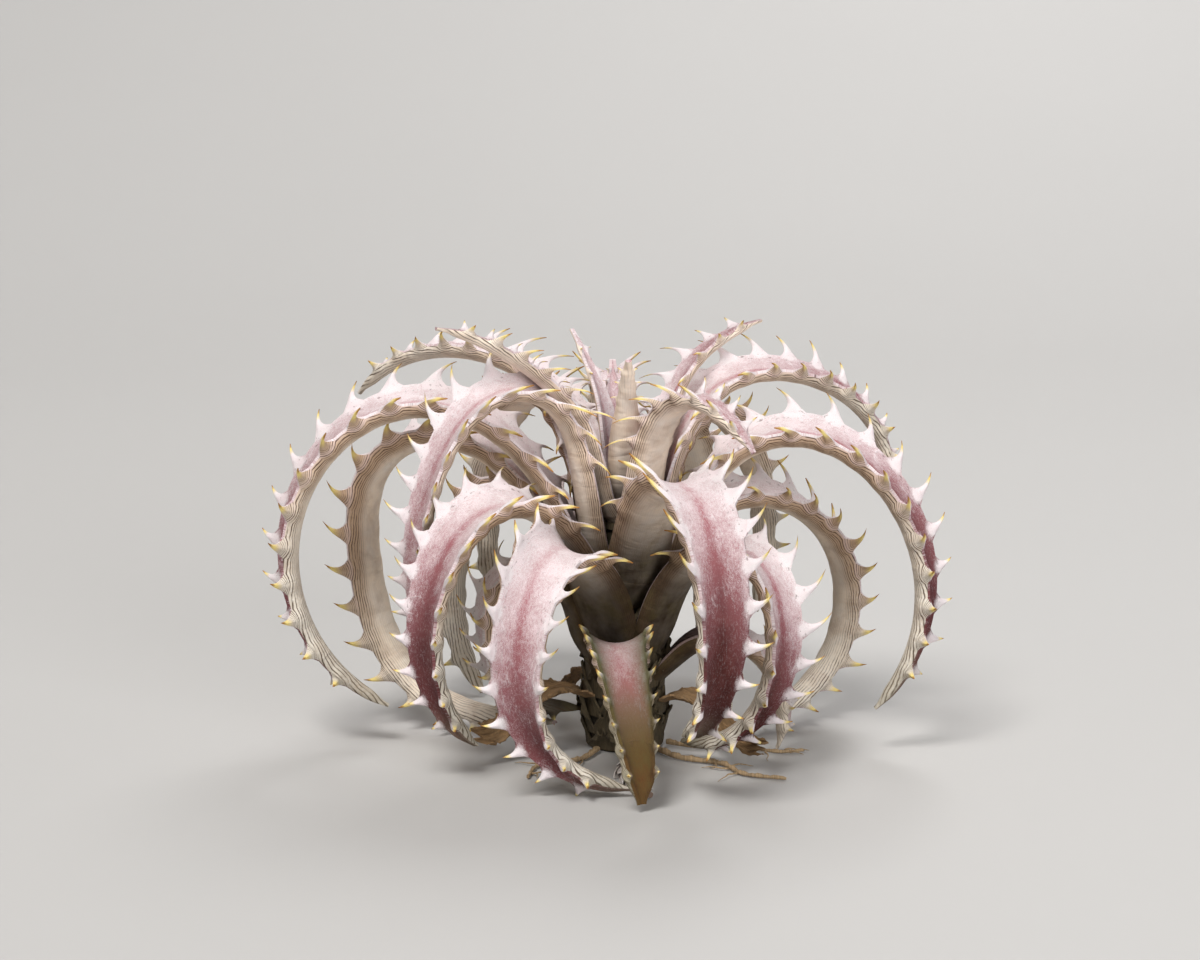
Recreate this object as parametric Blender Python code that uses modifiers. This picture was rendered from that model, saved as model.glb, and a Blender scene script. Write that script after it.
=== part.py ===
"""Dyckia bromeliad, bare-rooted: a rosette of arching, hook-toothed leaves on a short stem.

Metres, +Z up. The origin is the middle of the stem's flat cut foot, which rests on the ground,
and -Y is the front of the rosette. Run it with: blender --background --python part.py
"""

import math
import random
from typing import NamedTuple

import bmesh
import bpy
import numpy as np

MM = 0.001

# Stem: a turned core, wrapped in the bases of leaves that have dropped.
STEM_HEIGHT = 54.0
STEM_PROFILE = ((0.0, 8.0), (8.0, 8.6), (18.0, 8.0), (30.0, 7.0), (44.0, 4.8), (51.0, 2.8))
OLD_BASES = 11
OLD_BASE_RELIEF = 0.9
OLD_BASE_LIP = 0.15
STEM_STEPS = 20

# Leaf: a channelled blade, thick along its middle and thin at its toothed margins.
LEAF_THICKNESS = 2.0
MARGIN_THICKNESS = 0.8
ROOT_CLEARANCE = 0.4
SPINE_STEPS = 240
COLUMNS = 2
WIDTH_SHAPE = (0.38, 0.90, 1.20, 0.98, 0.62, 0.16)
THICKNESS_SHAPE = (0.50, 0.60, 1.0, 1.0, 0.90, 0.60)
CURL = (22, 48, 55, 70, 105)

# Tooth: a flat hook whose point leans back towards the leaf's root.
TOOTH_HEIGHT = 5.3
TOOTH_SHAPE = (0.20, 0.66, 0.96, 0.94, 0.72, 0.42)
TOOTH_VARIATION = 0.12
TOOTH_LEAN = 0.62
TOOTH_BEND = 0.56
TOOTH_BEND_SHIFT = 0.42
TOOTH_FOOT = 0.66
TOOTH_RISE = 8
TOOTH_LIFT = 72
BARE_ROOT = 21.0
LAST_TOOTH = 0.95

# Withered remains: curled strips that hang from the foot of the stem, and wiry roots on the ground.
STRIP_THICKNESS = 0.8
STRIP_ROWS = 12
STRIP_SHAPE = (0.80, 1.0, 0.85, 0.55)
STRIP_FOLD = 0.35
ROOT_SIDES = 2
ROOT_STEPS = 4
FLOOR_GAP = 0.25

COLLECTION = "dyckia_bromeliad"


class Leaf(NamedTuple):
    """Sizes in millimetres and angles in degrees; pitch and swing run from root to tip."""

    name: str
    heading: float
    root: float
    length: float
    width: float
    pitch: tuple
    teeth: int
    swing: tuple = (0, 0, 0)


LEAVES = (
    Leaf("front_leaf_short", 262, 14, 60, 9, (60, 30, -20, -65, -80), 8, (0, 15, 40)),
    Leaf("right_leaf_low", 350, 14, 45, 8, (72, 24, -37, -78, -110), 5),
    Leaf("back_leaf_far_left", 129, 18, 109, 9.5, (75, 46, -29, -85, -148), 12),
    Leaf("left_leaf_low", 194, 18, 72, 8, (75, 72, 6, -78, -104, -158, -178), 9),
    Leaf("outer_leaf_back_right", 27, 21, 118, 9.5, (80, 62, -3, -50, -98, -154, -186), 14, (0, 0, 24)),
    Leaf("front_leaf_far_right", 318, 20, 96, 9, (81, 40, -66, -124, -182), 11),
    Leaf("front_leaf_left", 244, 22, 101, 10, (74, 35, -56, -115, -178), 12, (0, -8, -70)),
    Leaf("back_leaf_low", 91, 20, 112, 9.5, (75, 46, -35, -89, -152), 12),
    Leaf("left_leaf_back", 160, 23, 157, 10, (76, 58, 4, -80, -112, -172, -190), 17, (0, 0, -24)),
    Leaf("outer_leaf_right", -7, 25, 124, 9.5, (83, 58, -28, -82, -134), 14),
    Leaf("left_leaf_front", 218, 26, 98, 10, (77, 46, -42, -94, -144), 12),
    Leaf("back_leaf_right", 74, 24, 118, 9, (80, 52, -20, -70, -120), 12),
    Leaf("back_leaf_left", 119, 29, 118, 9, (78, 58, -20, -75, -125), 12),
    Leaf("outer_leaf_left", 180, 30, 141, 9.5, (80, 46, -34, -96, -156), 15),
    Leaf("front_leaf_right", 287, 30, 110, 11, (78, 42, -41, -102, -166), 12, (0, 3, 2)),
    Leaf("right_leaf_back", 51, 32, 98, 8, (75, 66, -28, -78, -110), 12),
    Leaf("left_leaf_narrow", 203, 36, 113, 7.5, (80, 71, -44, -84, -118), 14),
    Leaf("high_leaf_left", 150, 38, 88, 7.5, (80, 68, 24, -10, -48), 10, (-15, 0, 0)),
    Leaf("high_leaf_right", 19, 40, 92, 8, (80, 68, 4, -40, -96), 11),
    Leaf("inner_leaf_front_right", 302, 41, 58, 7, (78, 80, 50, -15, -48), 7, (0, 6, 11)),
    Leaf("back_leaf_high", 97, 44, 70, 6.2, (80, 72, 12, -42, -82), 8),
    Leaf("inner_leaf_left", 202, 46, 58, 5.5, (78, 76, 46, 30, 12), 6),
    Leaf("inner_leaf_right", 31, 46, 52, 5.3, (72, 80, 62, 30, 12), 5),
    Leaf("crown_leaf_front", 272, 50, 33, 3.8, (80, 84, 74, 60, 45), 3),
    Leaf("crown_spike", 150, 53, 33, 3.2, (82, 86, 74, 62, 58), 2, (0, -4, -4)),
    Leaf("crown_leaf_back", 112, 52, 27, 3.2, (66, 84, 78, 66, 50), 2, (0, -12, -20)),
)


class Strip(NamedTuple):
    """A withered leaf: narrow, toothless and twisted; sizes and angles as for a leaf."""

    name: str
    heading: float
    root: float
    length: float
    width: float
    pitch: tuple
    swing: tuple
    twist: float


class Root(NamedTuple):
    """A root or stalk along the ground: points are (x, y) in millimetres, outwards."""

    name: str
    thickness: float
    tip: float
    points: tuple


STRIPS = (
    Strip("withered_leaf_left", 207, 11, 28, 7.0, (35, 0, -35, -20, 20), (0, 5, 20), 70),
    Strip("withered_leaf_right", 334, 10, 26, 6.0, (30, -10, -45, -15, 10), (0, -10, -25), -60),
    Strip("withered_leaf_back", 112, 10, 34, 6.5, (30, -10, -40, -15, 15), (0, 10, 25), 50),
)

ROOTS = (
    Root("old_stalk", 3.0, 1.6, ((0.4, -8.6), (1.5, -16), (-0.5, -24), (1.0, -32), (4.5, -39))),
    Root("root_front_right", 1.3, 0.7, ((6.1, -6.3), (11, -13), (19, -17), (23, -24), (31, -27))),
    Root("root_right", 1.1, 0.6, ((8.6, -1.7), (16, -5), (22, -3), (30, -8), (36, -7))),
    Root("root_front_left", 1.2, 0.6, ((-5.4, -6.9), (-9, -14), (-17, -18), (-19, -26))),
    Root("root_back", 1.2, 0.7, ((1.4, 8.6), (3, 17), (-3, 24), (0, 33))),
)


def clear_scene():
    for obj in list(bpy.data.objects):
        bpy.data.objects.remove(obj, do_unlink=True)


def material(name, colour, roughness):
    made = bpy.data.materials.new(name)
    made.use_nodes = True
    shader = made.node_tree.nodes["Principled BSDF"]
    shader.inputs["Base Color"].default_value = (*colour, 1.0)
    shader.inputs["Roughness"].default_value = roughness
    shader.inputs["Metallic"].default_value = 0.0
    made.diffuse_color = (*colour, 1.0)
    return made


def put(obj, collection, finish):
    collection.objects.link(obj)
    obj.data.materials.append(finish)
    return obj


def smooth(knots, at):
    """The value at 0..1 of the smooth curve through evenly spaced knots (Catmull-Rom)."""
    knots = np.asarray(knots, float)
    last = len(knots) - 1
    place = np.clip(np.asarray(at, float), 0.0, 1.0) * last
    span = np.minimum(place.astype(int), last - 1)
    f = place - span
    ends = np.concatenate([[2 * knots[0] - knots[1]], knots, [2 * knots[-1] - knots[-2]]])
    a, b, c, d = (ends[span + i] for i in range(4))
    return b + 0.5 * f * (c - a + f * (2 * a - 5 * b + 4 * c - d + f * (3 * (b - c) + d - a)))


def stem_radius(height):
    heights, radii = zip(*STEM_PROFILE)
    return float(np.interp(height, heights, radii))


class Spine:
    """The leaf's centre line, with its direction, its upward normal and its sideways axis."""

    def __init__(self, leaf):
        self.leaf = leaf
        self.at = np.linspace(0.0, 1.0, SPINE_STEPS + 1)
        pitch = np.radians(smooth(leaf.pitch, self.at))
        heading = np.radians(leaf.heading + smooth(leaf.swing, self.at))
        level = np.stack([np.cos(heading), np.sin(heading), 0 * heading], 1)
        upright = np.array([0.0, 0.0, 1.0])
        self.along = np.cos(pitch)[:, None] * level + np.sin(pitch)[:, None] * upright
        self.normal = np.cos(pitch)[:, None] * upright - np.sin(pitch)[:, None] * level
        self.side = np.cross(self.along, self.normal)
        reach = stem_radius(leaf.root) + ROOT_CLEARANCE
        step = self.along * (leaf.length / SPINE_STEPS)
        self.point = np.concatenate([np.zeros((1, 3)), np.cumsum((step[1:] + step[:-1]) / 2, 0)])
        self.point += reach * level[0] + leaf.root * upright

    def frame(self, at):
        return [
            np.array([np.interp(at, self.at, axis) for axis in track.T])
            for track in (self.point, self.along, self.normal, self.side)
        ]

    def surface(self, at, across):
        """A point of the leaf's upper face; across runs from -1 to 1 between the margins."""
        point, _, normal, side = self.frame(at)
        half = self.leaf.width / 2 * float(smooth(WIDTH_SHAPE, at))
        curl = math.radians(float(smooth(CURL, at)))
        radius = half / curl
        turn = curl * across
        return point + side * radius * math.sin(turn) + normal * radius * (1 - math.cos(turn))

    def margin_axes(self, at, across):
        """At a margin: the way along the leaf, and the way that a tooth stands out."""
        _, along, normal, side = self.frame(at)
        lift = math.radians(min(float(smooth(CURL, at)) + TOOTH_RISE, TOOTH_LIFT))
        return along, across * math.cos(lift) * side + math.sin(lift) * normal


def leaf_rows(leaf):
    """Fractions of the length where the rows of points lie, and the rows where teeth begin."""
    first = BARE_ROOT / leaf.length
    pitch = (LAST_TOOTH - first) / leaf.teeth
    rows = [0.0, first / 3, first * 2 / 3]
    feet = []
    for tooth in range(leaf.teeth):
        middle = first + (tooth + 0.5) * pitch
        feet.append(len(rows))
        rows += [middle - TOOTH_FOOT / 2 * pitch, middle + TOOTH_FOOT / 2 * pitch]
    rows.append(1.0)
    return rows, feet


def grow_tooth(sheet, spine, margin, rows, foot, across, draw):
    """Draws one margin edge out into a hook: its outer bend and its point."""
    start, end = rows[foot], rows[foot + 1]
    foot_length = (end - start) * spine.leaf.length
    low, high = margin[foot], margin[foot + 1]
    edge = sheet.edges.get((low, high))
    grown = bmesh.ops.extrude_edge_only(sheet, edges=[edge])["geom"]
    fresh = [item for item in grown if isinstance(item, bmesh.types.BMVert)]
    fresh.sort(key=lambda vert: (vert.co - low.co).length)
    point, bend = fresh
    along, out = spine.margin_axes((start + end) / 2, across)
    height = TOOTH_HEIGHT * float(smooth(TOOTH_SHAPE, start))
    height *= 1 + TOOTH_VARIATION * draw.uniform(-1, 1)
    root = np.array(low.co)
    lean = TOOTH_LEAN * height - foot_length / 2
    point.co = root + MM * (height * out - lean * along)
    bend.co = root + MM * (TOOTH_BEND * height * out + TOOTH_BEND_SHIFT * foot_length * along)
    return fresh


def make_leaf(leaf, collection, finish):
    spine = Spine(leaf)
    draw = random.Random(leaf.name)
    rows, feet = leaf_rows(leaf)
    mesh = bpy.data.meshes.new(leaf.name)
    sheet = bmesh.new()
    bmesh.ops.create_grid(sheet, x_segments=COLUMNS, y_segments=len(rows) - 1, size=1.0)
    weights = sheet.verts.layers.deform.verify()
    margins = {-1: {}, 1: {}}
    for vert in sheet.verts:
        across = vert.co.x
        row = round((vert.co.y + 1) / 2 * (len(rows) - 1))
        vert.co = spine.surface(rows[row], across) * MM
        middle = float(smooth(THICKNESS_SHAPE, rows[row]))
        edge = MARGIN_THICKNESS / LEAF_THICKNESS
        vert[weights][0] = edge if abs(across) > 0.5 else middle
        if abs(across) > 0.5:
            margins[round(across)][row] = vert
    for across, margin in margins.items():
        for foot in feet:
            for vert in grow_tooth(sheet, spine, margin, rows, foot, across, draw):
                vert[weights][0] = MARGIN_THICKNESS / LEAF_THICKNESS
    bmesh.ops.triangulate(sheet, faces=sheet.faces[:])
    sheet.to_mesh(mesh)
    sheet.free()
    obj = bpy.data.objects.new(leaf.name, mesh)
    obj.vertex_groups.new(name="thickness")
    put(obj, collection, finish)
    wall = obj.modifiers.new("Blade", "SOLIDIFY")
    wall.thickness = LEAF_THICKNESS * MM
    wall.offset = -1.0
    wall.vertex_group = "thickness"
    wall.use_rim = True
    mesh.shade_smooth()
    return obj


def make_stem(collection, finish):
    """Turned core with a stepped outline, one step for the dried base of each dropped leaf."""
    top = STEM_PROFILE[-1][0]
    outline = [(0.0, STEM_HEIGHT)]
    for ring in range(OLD_BASES, 0, -1):
        rim = top * ring / OLD_BASES
        waist = top * (ring - 1) / OLD_BASES
        outline.append((stem_radius(rim), rim))
        foot = waist + OLD_BASE_LIP * (rim - waist) if ring > 1 else 0.0
        outline.append((stem_radius(foot) - OLD_BASE_RELIEF * (ring > 1), foot))
    outline.append((0.0, 0.0))
    mesh = bpy.data.meshes.new("stem")
    points = [(radius * MM, 0.0, height * MM) for radius, height in outline]
    edges = [(i, i + 1) for i in range(len(points) - 1)]
    mesh.from_pydata(points, edges, [])
    obj = put(bpy.data.objects.new("stem", mesh), collection, finish)
    turn = obj.modifiers.new("Turn", "SCREW")
    turn.steps = STEM_STEPS
    turn.render_steps = STEM_STEPS
    turn.use_merge_vertices = True
    turn.merge_threshold = 0.0001
    turn.use_smooth_shade = True
    return obj


def make_strip(strip, collection, finish):
    """A withered leaf: the same blade without teeth, twisted about its own length."""
    spine = Spine(strip)
    mesh = bpy.data.meshes.new(strip.name)
    sheet = bmesh.new()
    bmesh.ops.create_grid(sheet, x_segments=COLUMNS, y_segments=STRIP_ROWS, size=1.0)
    for vert in sheet.verts:
        at = (vert.co.y + 1) / 2
        point, _, normal, side = spine.frame(at)
        turn = math.radians(strip.twist) * at**2
        half = strip.width / 2 * float(smooth(STRIP_SHAPE, at)) * vert.co.x
        fold = STRIP_FOLD * abs(half)
        tilted = side * math.cos(turn) + normal * math.sin(turn)
        upright = normal * math.cos(turn) - side * math.sin(turn)
        vert.co = (point + half * tilted + fold * upright) * MM
    bmesh.ops.triangulate(sheet, faces=sheet.faces[:])
    sheet.to_mesh(mesh)
    sheet.free()
    mesh.shade_smooth()
    obj = put(bpy.data.objects.new(strip.name, mesh), collection, finish)
    wall = obj.modifiers.new("Blade", "SOLIDIFY")
    wall.thickness = STRIP_THICKNESS * MM
    wall.offset = -1.0
    return obj


def make_root(root, collection, finish):
    """A tapering wire of smooth bends that lies on the ground from the stem's foot outwards."""
    steps = ROOT_STEPS * (len(root.points) - 1)
    at = np.linspace(0.0, 1.0, steps + 1)
    radius = 0.5 * (root.thickness + (root.tip - root.thickness) * at)
    east, north = (smooth(axis, at) for axis in zip(*root.points))
    curve = bpy.data.curves.new(root.name, "CURVE")
    curve.dimensions = "3D"
    curve.bevel_depth = MM
    curve.bevel_resolution = ROOT_SIDES
    curve.use_fill_caps = True
    spline = curve.splines.new("POLY")
    spline.points.add(steps)
    for point, x, y, size in zip(spline.points, east, north, radius):
        point.co = (x * MM, y * MM, (size + FLOOR_GAP) * MM, 1.0)
        point.radius = size
    return put(bpy.data.objects.new(root.name, curve), collection, finish)


def main():
    clear_scene()
    collection = bpy.data.collections.new(COLLECTION)
    bpy.context.scene.collection.children.link(collection)
    felt = material("leaf_felt", (0.62, 0.42, 0.44), 0.85)
    straw = material("withered_leaf", (0.45, 0.28, 0.13), 0.8)
    bark = material("stem_bark", (0.20, 0.14, 0.09), 0.9)
    fibre = material("root_fibre", (0.48, 0.34, 0.20), 0.8)
    make_stem(collection, bark)
    for leaf in LEAVES:
        make_leaf(leaf, collection, felt)
    for strip in STRIPS:
        make_strip(strip, collection, straw)
    for root in ROOTS:
        make_root(root, collection, fibre)


if __name__ == "__main__":
    main()
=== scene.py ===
"""Dyckia bromeliad, bare-rooted: the finish of every leaf, tooth, root and dry base.

Metres, +Z up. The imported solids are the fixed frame, and each piece here stands for one of them.
"""

import math
import random
from types import SimpleNamespace
from typing import NamedTuple

import bpy
import numpy as np
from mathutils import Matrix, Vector


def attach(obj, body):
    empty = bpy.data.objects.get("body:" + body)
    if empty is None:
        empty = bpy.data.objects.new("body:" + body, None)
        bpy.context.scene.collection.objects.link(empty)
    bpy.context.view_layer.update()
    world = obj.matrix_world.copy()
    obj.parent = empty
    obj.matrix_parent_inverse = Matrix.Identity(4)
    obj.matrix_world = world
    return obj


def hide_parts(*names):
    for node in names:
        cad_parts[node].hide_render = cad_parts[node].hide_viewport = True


bl_info = {
    "name": "Dyckia bromeliad",
    "version": (1, 0, 0),
    "blender": (4, 5, 0),
    "location": "3D View > Sidebar > Dyckia",
    "description": "Dresses a bare-rooted dyckia with felted, hook-toothed leaves",
    "category": "Add Mesh",
}

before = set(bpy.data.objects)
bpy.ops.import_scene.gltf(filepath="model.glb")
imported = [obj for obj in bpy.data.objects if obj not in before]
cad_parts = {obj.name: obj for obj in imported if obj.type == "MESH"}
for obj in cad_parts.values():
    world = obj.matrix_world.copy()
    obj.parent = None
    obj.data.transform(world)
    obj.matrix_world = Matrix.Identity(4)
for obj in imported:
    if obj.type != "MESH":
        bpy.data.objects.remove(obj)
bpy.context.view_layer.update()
BODY = "root"
MM = 0.001
MM_IN_CM = 0.1
M_IN_CM = 100

# The stem's outline and the leaf's run, as the solids have them. Millimetres and degrees.
STEM_PROFILE = ((0.0, 8.0), (8.0, 8.6), (18.0, 8.0), (30.0, 7.0), (44.0, 4.8), (51.0, 2.8))
ROOT_CLEARANCE = 0.4
SPINE_STEPS = 240
CURL = (52, 44, 42, 52, 85)
TOOTH_SHAPE = (0.20, 0.66, 0.96, 0.94, 0.72, 0.42)
TOOTH_RISE = 8
TOOTH_LIFT = 36
BARE_ROOT = 21.0
LAST_TOOTH = 0.95
STRIP_SHAPE = (0.80, 1.0, 0.85, 0.55)
STRIP_FOLD = 0.35
FLOOR_GAP = 0.25

# Mesh fineness. A tooth's foot covers some of the rows of its share of the margin.
LEAF_COLUMNS = 16
ROOT_ROWS = 16
ROWS_PER_TOOTH = 10
FOOT_ROWS = 6
FOOT_START = 1
TIP_ROWS = 6
TOOTH_STEPS = 7
FLAT_WALL = 0.1
WELD = 0.00001
CREASE = math.radians(50)
LOWEST = 0.00005
GOLDEN_ANGLE = 137.5


class Leaf(NamedTuple):
    """Sizes in millimetres and angles in degrees; pitch and swing run from root to tip.

    dark says how burgundy the outer half turns, olive how much green shows at the edges, bite how
    large the teeth are, roll how far the upper face turns to one side past the root, and blunt how
    wide the very tip stays.
    """

    name: str
    heading: float
    root: float
    length: float
    width: float
    pitch: tuple
    teeth: int
    swing: tuple = (0, 0, 0)
    dark: float = 0.7
    olive: float = 0.0
    bite: float = 1.0
    roll: float = 0.0
    blunt: float = 0.0


LEAVES = (
    Leaf(
        "front_leaf_short", 262, 14, 60, 9, (60, 30, -20, -65, -80), 8, (0, 15, 40),
        dark=0.6, olive=1.0, bite=0.42, blunt=0.3,
    ),
    Leaf("right_leaf_low", 350, 14, 45, 8, (72, 24, -37, -78, -110), 5, dark=0.2, olive=0.3, bite=0.6),
    Leaf("back_leaf_far_left", 129, 18, 109, 9.5, (75, 46, -29, -85, -148), 12),
    Leaf("left_leaf_low", 194, 18, 72, 8, (75, 72, 6, -78, -104, -158, -178), 9, dark=0.1, olive=0.3),
    Leaf(
        "outer_leaf_back_right", 27, 21, 118, 9.5, (80, 62, -3, -50, -98, -154, -186), 14, (0, 0, 24),
        dark=0.5, roll=-12,
    ),
    Leaf("front_leaf_far_right", 318, 20, 96, 9, (81, 40, -66, -124, -182), 11, dark=1.0),
    Leaf(
        "front_leaf_left", 244, 22, 101, 10, (74, 35, -56, -115, -178), 12, (0, -3, -68),
        dark=0.8, bite=0.85, roll=34,
    ),
    Leaf("back_leaf_low", 91, 20, 112, 9.5, (75, 46, -35, -89, -152), 12, dark=0.6),
    Leaf("left_leaf_back", 160, 23, 157, 10, (76, 58, 4, -80, -112, -172, -190), 17, (0, 0, -24), 0.2),
    Leaf("outer_leaf_right", -7, 25, 124, 9.5, (83, 58, -28, -82, -134), 14, dark=0.9, roll=-15),
    Leaf("left_leaf_front", 218, 26, 98, 10, (77, 46, -42, -94, -144), 12, dark=0.9, bite=0.9, roll=12),
    Leaf("back_leaf_right", 74, 24, 118, 9, (80, 52, -20, -70, -120), 12),
    Leaf("back_leaf_left", 119, 29, 118, 9, (78, 58, -20, -75, -125), 12),
    Leaf("outer_leaf_left", 180, 30, 141, 9.5, (80, 46, -34, -96, -156), 15, dark=0.8, roll=13),
    Leaf("front_leaf_right", 287, 30, 110, 11, (78, 42, -41, -102, -166), 12, (0, 3, 2), dark=1.0),
    Leaf("right_leaf_back", 51, 32, 98, 8, (75, 66, -28, -78, -110), 12, dark=0.5),
    Leaf("left_leaf_narrow", 203, 36, 113, 7.5, (80, 71, -44, -84, -118), 14, dark=0.5, roll=18),
    Leaf("high_leaf_left", 150, 38, 88, 7.5, (80, 68, 24, -10, -48), 10, (-15, 0, 0), dark=0.3),
    Leaf("high_leaf_right", 19, 40, 92, 8, (80, 68, 4, -40, -96), 11, dark=0.6, roll=-16),
    Leaf("inner_leaf_front_right", 302, 41, 58, 7, (78, 80, 50, -15, -48), 7, (0, 6, 11), dark=0.4),
    Leaf("back_leaf_high", 97, 44, 70, 6.2, (80, 72, 12, -42, -82), 8, dark=0.5),
    Leaf("inner_leaf_left", 202, 46, 58, 5.5, (78, 76, 46, 30, 12), 6, dark=0.5),
    Leaf("inner_leaf_right", 31, 46, 52, 5.3, (72, 80, 62, 30, 12), 5, dark=0.5),
    Leaf("crown_leaf_front", 272, 50, 33, 3.8, (80, 84, 74, 60, 45), 3, dark=0.3, bite=0.5),
    Leaf("crown_spike", 150, 53, 33, 3.2, (82, 86, 74, 62, 58), 2, (0, -4, -4), dark=0.2, bite=0.3),
    Leaf("crown_leaf_back", 112, 52, 27, 3.2, (66, 84, 78, 66, 50), 2, (0, -12, -20), dark=0.3, bite=0.5),
)


class Strip(NamedTuple):
    """A withered leaf: narrow, toothless and twisted; sizes and angles as for a leaf."""

    name: str
    heading: float
    root: float
    length: float
    width: float
    pitch: tuple
    swing: tuple
    twist: float


STRIPS = (
    Strip("withered_leaf_left", 207, 11, 28, 7.0, (35, 0, -35, -20, 20), (0, 5, 20), 70),
    Strip("withered_leaf_right", 334, 10, 26, 6.0, (30, -10, -45, -15, 10), (0, -10, -25), -60),
    Strip("withered_leaf_back", 112, 10, 34, 6.5, (30, -10, -40, -15, 15), (0, 10, 25), 50),
)


class Root(NamedTuple):
    """A root or stalk along the ground: points are (x, y) in millimetres, outwards."""

    name: str
    thickness: float
    tip: float
    points: tuple


ROOTS = (
    Root("root_front_right", 1.3, 0.7, ((6.1, -6.3), (11, -13), (19, -17), (23, -24), (31, -27))),
    Root("root_right", 1.1, 0.6, ((8.6, -1.7), (16, -5), (22, -3), (30, -8), (36, -7))),
    Root("root_front_left", 1.2, 0.6, ((-5.4, -6.9), (-9, -14), (-17, -18), (-19, -26))),
    Root("root_back", 1.2, 0.7, ((1.4, 8.6), (3, 17), (-3, 24), (0, 33))),
)
STALK = Root("old_stalk", 3.0, 1.6, ((0.4, -8.6), (1.5, -16), (-0.5, -24), (1.0, -32), (4.5, -39)))


# ---------- settings


def setting(kind, **fixed):
    """A maker of properties of that kind, which share the fixed settings."""
    return lambda name, description, default: kind(
        name=name, description=description, default=default, **fixed
    )


length = setting(bpy.props.FloatProperty, min=0.0, unit="LENGTH")
share = setting(bpy.props.FloatProperty, subtype="FACTOR")
angle = setting(bpy.props.FloatProperty, subtype="ANGLE")
focal_length = setting(bpy.props.FloatProperty, min=1.0, unit="CAMERA")
colour = setting(bpy.props.FloatVectorProperty, subtype="COLOR", size=3, min=0.0, max=1.0)


class DyckiaLeafSettings(bpy.types.PropertyGroup):
    thickness: length("Leaf thickness", "Thickness along the middle of a leaf", 0.0026)
    margin: length("Margin thickness", "Thickness at the edge between two teeth", 0.0006)
    tooth_height: length("Tooth height", "Height of the largest teeth", 0.0056)
    tooth_thickness: length("Tooth thickness", "Thickness at the foot of a tooth", 0.0018)
    tooth_lean: share("Tooth lean", "How far a tooth hooks back, as a share of its height", 0.80)
    variation: share("Variation", "How much the teeth differ from each other", 0.16)
    felt: colour("Felt", "White felt on the upper face", (0.80, 0.76, 0.765))
    rose: colour("Rose", "Skin under the felt near the crest", (0.54, 0.205, 0.235))
    burgundy: colour("Burgundy", "Skin of the outer half of a leaf", (0.052, 0.010, 0.008))
    under: colour("Underside", "Pale felt of the underside", (0.93, 0.785, 0.635))
    tan: colour("Tan", "Flank of the underside, below the margins", (0.48, 0.315, 0.20))
    tail: colour("Tail", "Grey-green of the outer end's underside", (0.52, 0.485, 0.41))
    vein: colour("Vein", "Fine dark lines of the underside", (0.075, 0.042, 0.025))
    olive: colour("Olive", "Green of the lowest leaves", (0.080, 0.078, 0.022))
    horn: colour("Horn", "Yellow of the upper half of a tooth", (0.80, 0.64, 0.24))
    point: colour("Point", "Amber of a tooth's very tip", (0.34, 0.13, 0.03))


class DyckiaBaseSettings(bpy.types.PropertyGroup):
    bark: colour("Bark", "Dark rind of the stem", (0.035, 0.026, 0.016))
    old_base: colour("Old leaf base", "Dry clasping bases of dropped leaves", (0.085, 0.062, 0.030))
    straw: colour("Withered leaf", "Dry, curled leaves", (0.26, 0.155, 0.07))
    fibre: colour("Root fibre", "Wiry roots", (0.42, 0.29, 0.16))
    stalk: colour("Old stalk", "Silvery scales of the dry stalk", (0.55, 0.49, 0.45))


class DyckiaStageSettings(bpy.types.PropertyGroup):
    floor: colour("Floor", "Pale ground", (0.46, 0.45, 0.44))
    elevation: angle("Camera elevation", "Camera's angle above level", math.radians(10))
    distance: length("Camera distance", "From the camera to the rosette's middle", 0.52)
    lens: focal_length("Lens", "Focal length in millimetres", 78.0)


# ---------- shapes


def smooth(knots, at):
    """The value at 0..1 of the smooth curve through evenly spaced knots (Catmull-Rom)."""
    knots = np.asarray(knots, float)
    last = len(knots) - 1
    place = np.clip(np.asarray(at, float), 0.0, 1.0) * last
    span = np.minimum(place.astype(int), last - 1)
    f = place - span
    ends = np.concatenate([[2 * knots[0] - knots[1]], knots, [2 * knots[-1] - knots[-2]]])
    a, b, c, d = (ends[span + i] for i in range(4))
    return b + 0.5 * f * (c - a + f * (2 * a - 5 * b + 4 * c - d + f * (3 * (b - c) + d - a)))


def ease(value, start, end):
    """0 before start, 1 after end, and a smooth step between them."""
    t = np.clip((np.asarray(value, float) - start) / (end - start), 0.0, 1.0)
    return t * t * (3 - 2 * t)


def stem_radius(height):
    heights, radii = zip(*STEM_PROFILE)
    return np.interp(height, heights, radii)


def rolled(normal, side, angle):
    """The normal and the side axis, turned by the angle about the direction between them."""
    cosine, sine = np.cos(angle)[:, None], np.sin(angle)[:, None]
    return normal * cosine - side * sine, side * cosine + normal * sine


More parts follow.
